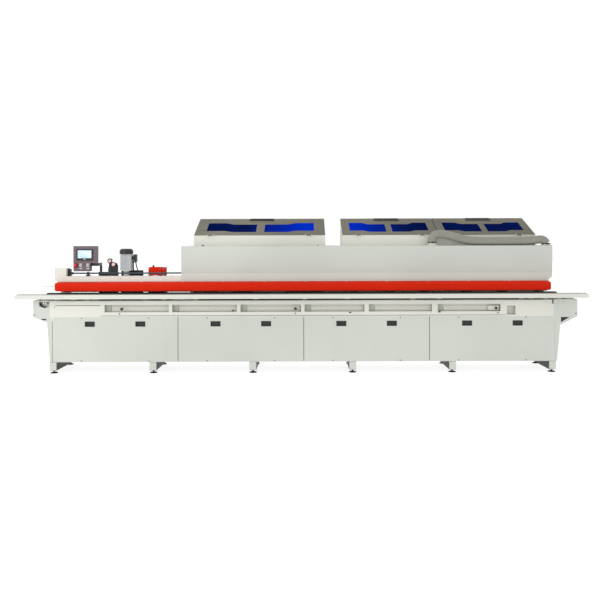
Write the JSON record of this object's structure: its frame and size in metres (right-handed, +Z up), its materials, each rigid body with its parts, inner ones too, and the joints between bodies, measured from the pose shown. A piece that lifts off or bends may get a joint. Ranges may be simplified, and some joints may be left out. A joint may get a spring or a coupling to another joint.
{
  "type": "edge banding machine",
  "caption": "Long edge banding machine: chain conveyor with roller rail, lifting pressure beam under a red cover, hooded working units with blue-windowed lids, control panel and dust hose.",
  "frame": {"origin": "on the floor, under the centre of the whole machine", "axes": "+X along the feed to the outfeed end, +Y away from the operator, +Z up"},
  "size_m": [6.732, 0.98, 1.8519],
  "materials": {
    "frame_grey": "satin",
    "black_plastic": "matt",
    "cabinet_white": "satin",
    "chain_rubber": "matt",
    "steel": "brushed",
    "roller_white": "satin",
    "red_paint": "gloss",
    "lid_grey": "satin",
    "blue_acrylic": "gloss",
    "galvanised": "galvanised",
    "hose_grey": "satin",
    "motor_aluminium": "cast",
    "cable_black": "matt",
    "panel_grey": "satin",
    "screen": "gloss",
    "stop_red": "gloss",
    "button_white": "gloss",
    "dial_red": "gloss"
  },
  "bodies": {
    "base": {"apron_posts": "cabinet_white", "apron_rails": "cabinet_white", "conveyor_chain": "chain_rubber", "drive_gearmotor": "frame_grey", "dust_hose": "hose_grey", "dust_spigots": "galvanised", "frame_posts": "frame_grey", "frame_rails": "frame_grey", "front_panel_1": "cabinet_white", "front_panel_2": "cabinet_white", "front_panel_3": "cabinet_white", "front_panel_4": "cabinet_white", "hoods": "cabinet_white", "housing_front": "cabinet_white", "housing_panels": "cabinet_white", "infeed_end_cover": "cabinet_white", "leg_beams": "frame_grey", "levelling_feet": "black_plastic", "machine_bed": "frame_grey", "motor_cable_1": "cable_black", "motor_cable_2": "cable_black", "outfeed_end_cover": "cabinet_white", "premill_covers": "black_plastic", "premill_motor": "motor_aluminium", "pull_handles": "black_plastic", "rear_panels": "cabinet_white", "tape_feed_block": "red_paint", "unit_stands": "black_plastic", "working_units": "frame_grey"},
    "beam": {"pressure_beam": "cabinet_white", "red_cover": "red_paint", "pressure_rollers": "chain_rubber", "lift_gearbox": "cabinet_white"},
    "lift_shaft": {"lift_shaft": "steel"},
    "rail": {"support_rail": "cabinet_white", "rail_rollers": "roller_white"},
    "lid_left": {"lid_left": "lid_grey", "lid_left_windows": "blue_acrylic", "lid_left_handle": "black_plastic"},
    "lid_middle": {"lid_middle": "lid_grey", "lid_middle_windows": "blue_acrylic", "lid_middle_handle": "black_plastic"},
    "lid_right": {"lid_right": "lid_grey", "lid_right_windows": "blue_acrylic", "lid_right_handle": "black_plastic"},
    "idler": {"idler_sprocket": "steel"},
    "driver": {"drive_sprocket": "steel"},
    "panel": {"panel_case": "panel_grey", "panel_screen": "screen"},
    "emergency_stop": {"emergency_stop": "stop_red"},
    "start_button": {"start_button": "button_white"},
    "feed_button": {"feed_button": "button_white"},
    "clamp_knob_1": {"clamp_knob_1": "black_plastic"},
    "clamp_knob_2": {"clamp_knob_2": "black_plastic"},
    "clamp_knob_3": {"clamp_knob_3": "black_plastic"},
    "position_dial_1": {"position_dial_1": "dial_red"},
    "position_dial_2": {"position_dial_2": "dial_red"},
    "tape_feed_knob": {"tape_feed_knob": "black_plastic"},
    "premill_spindle": {"premill_spindle": "steel"},
    "glue_roller": {"glue_roller": "steel"}
  },
  "joints": [
    {"name": "beam_lift", "type": "slide", "parent": "base", "child": "beam", "axis": [0, 0, 1], "range_m": [0, 0.05]},
    {"name": "lift_shaft_turn", "type": "hinge", "parent": "beam", "child": "lift_shaft", "pos_m": [-2, -0.18, 1.181], "axis": [1, 0, 0], "range_deg": [0, 1800]},
    {"name": "rail_extend", "type": "slide", "parent": "base", "child": "rail", "axis": [0, -1, 0], "range_m": [0, 0.4]},
    {"name": "lid_left_open", "type": "hinge", "parent": "base", "child": "lid_left", "pos_m": [0, -0.148, 1.638], "axis": [1, 0, 0], "range_deg": [0, 65]},
    {"name": "lid_middle_open", "type": "hinge", "parent": "base", "child": "lid_middle", "pos_m": [0, -0.148, 1.638], "axis": [1, 0, 0], "range_deg": [0, 65]},
    {"name": "lid_right_open", "type": "hinge", "parent": "base", "child": "lid_right", "pos_m": [0, -0.148, 1.638], "axis": [1, 0, 0], "range_deg": [0, 65]},
    {"name": "chain_drive", "type": "hinge", "parent": "base", "child": "driver", "pos_m": [3.052, -0.27, 0.846], "axis": [0, 1, 0], "continuous": true},
    {"name": "chain_idler", "type": "hinge", "parent": "base", "child": "idler", "pos_m": [-3.052, -0.27, 0.846], "axis": [0, 1, 0], "continuous": true},
    {"name": "panel_swivel", "type": "hinge", "parent": "base", "child": "panel", "pos_m": [-2.457, -0.085, 1.25], "axis": [0, 0, 1], "range_deg": [-10, 45]},
    {"name": "emergency_stop_press", "type": "slide", "parent": "panel", "child": "emergency_stop", "axis": [0, 1, 0], "range_m": [0, 0.005], "stiffness_N_per_m": 600},
    {"name": "start_button_press", "type": "slide", "parent": "panel", "child": "start_button", "axis": [0, 1, 0], "range_m": [0, 0.003], "stiffness_N_per_m": 400},
    {"name": "feed_button_press", "type": "slide", "parent": "panel", "child": "feed_button", "axis": [0, 1, 0], "range_m": [0, 0.003], "stiffness_N_per_m": 400},
    {"name": "clamp_knob_1_turn", "type": "hinge", "parent": "base", "child": "clamp_knob_1", "pos_m": [-2.137, -0.37, 0.762], "axis": [0, 1, 0], "range_deg": [-180, 180]},
    {"name": "clamp_knob_2_turn", "type": "hinge", "parent": "base", "child": "clamp_knob_2", "pos_m": [-0.075, -0.37, 0.762], "axis": [0, 1, 0], "range_deg": [-180, 180]},
    {"name": "clamp_knob_3_turn", "type": "hinge", "parent": "base", "child": "clamp_knob_3", "pos_m": [2.306, -0.37, 0.762], "axis": [0, 1, 0], "range_deg": [-180, 180]},
    {"name": "position_dial_1_turn", "type": "hinge", "parent": "base", "child": "position_dial_1", "pos_m": [-2.339, -0.13, 1.33], "axis": [0, 1, 0], "range_deg": [-720, 720]},
    {"name": "position_dial_2_turn", "type": "hinge", "parent": "base", "child": "position_dial_2", "pos_m": [-2.294, -0.13, 1.285], "axis": [0, 1, 0], "range_deg": [-720, 720]},
    {"name": "tape_feed_knob_turn", "type": "hinge", "parent": "base", "child": "tape_feed_knob", "pos_m": [-1.818, -0.07, 1.26], "axis": [0, 0, 1], "range_deg": [-180, 180]},
    {"name": "premill_spin", "type": "hinge", "parent": "base", "child": "premill_spindle", "pos_m": [-2.149, -0.07, 0.97], "axis": [0, 0, 1], "continuous": true},
    {"name": "glue_roller_spin", "type": "hinge", "parent": "base", "child": "glue_roller", "pos_m": [-1.185, -0.108, 0.97], "axis": [0, 0, 1], "continuous": true}
  ],
  "couplings": [
    {"joint": "lift_shaft_turn", "follows": "beam_lift", "rad_per_m": 628.32},
    {"joint": "chain_idler", "follows": "chain_drive", "ratio": 1}
  ]
}
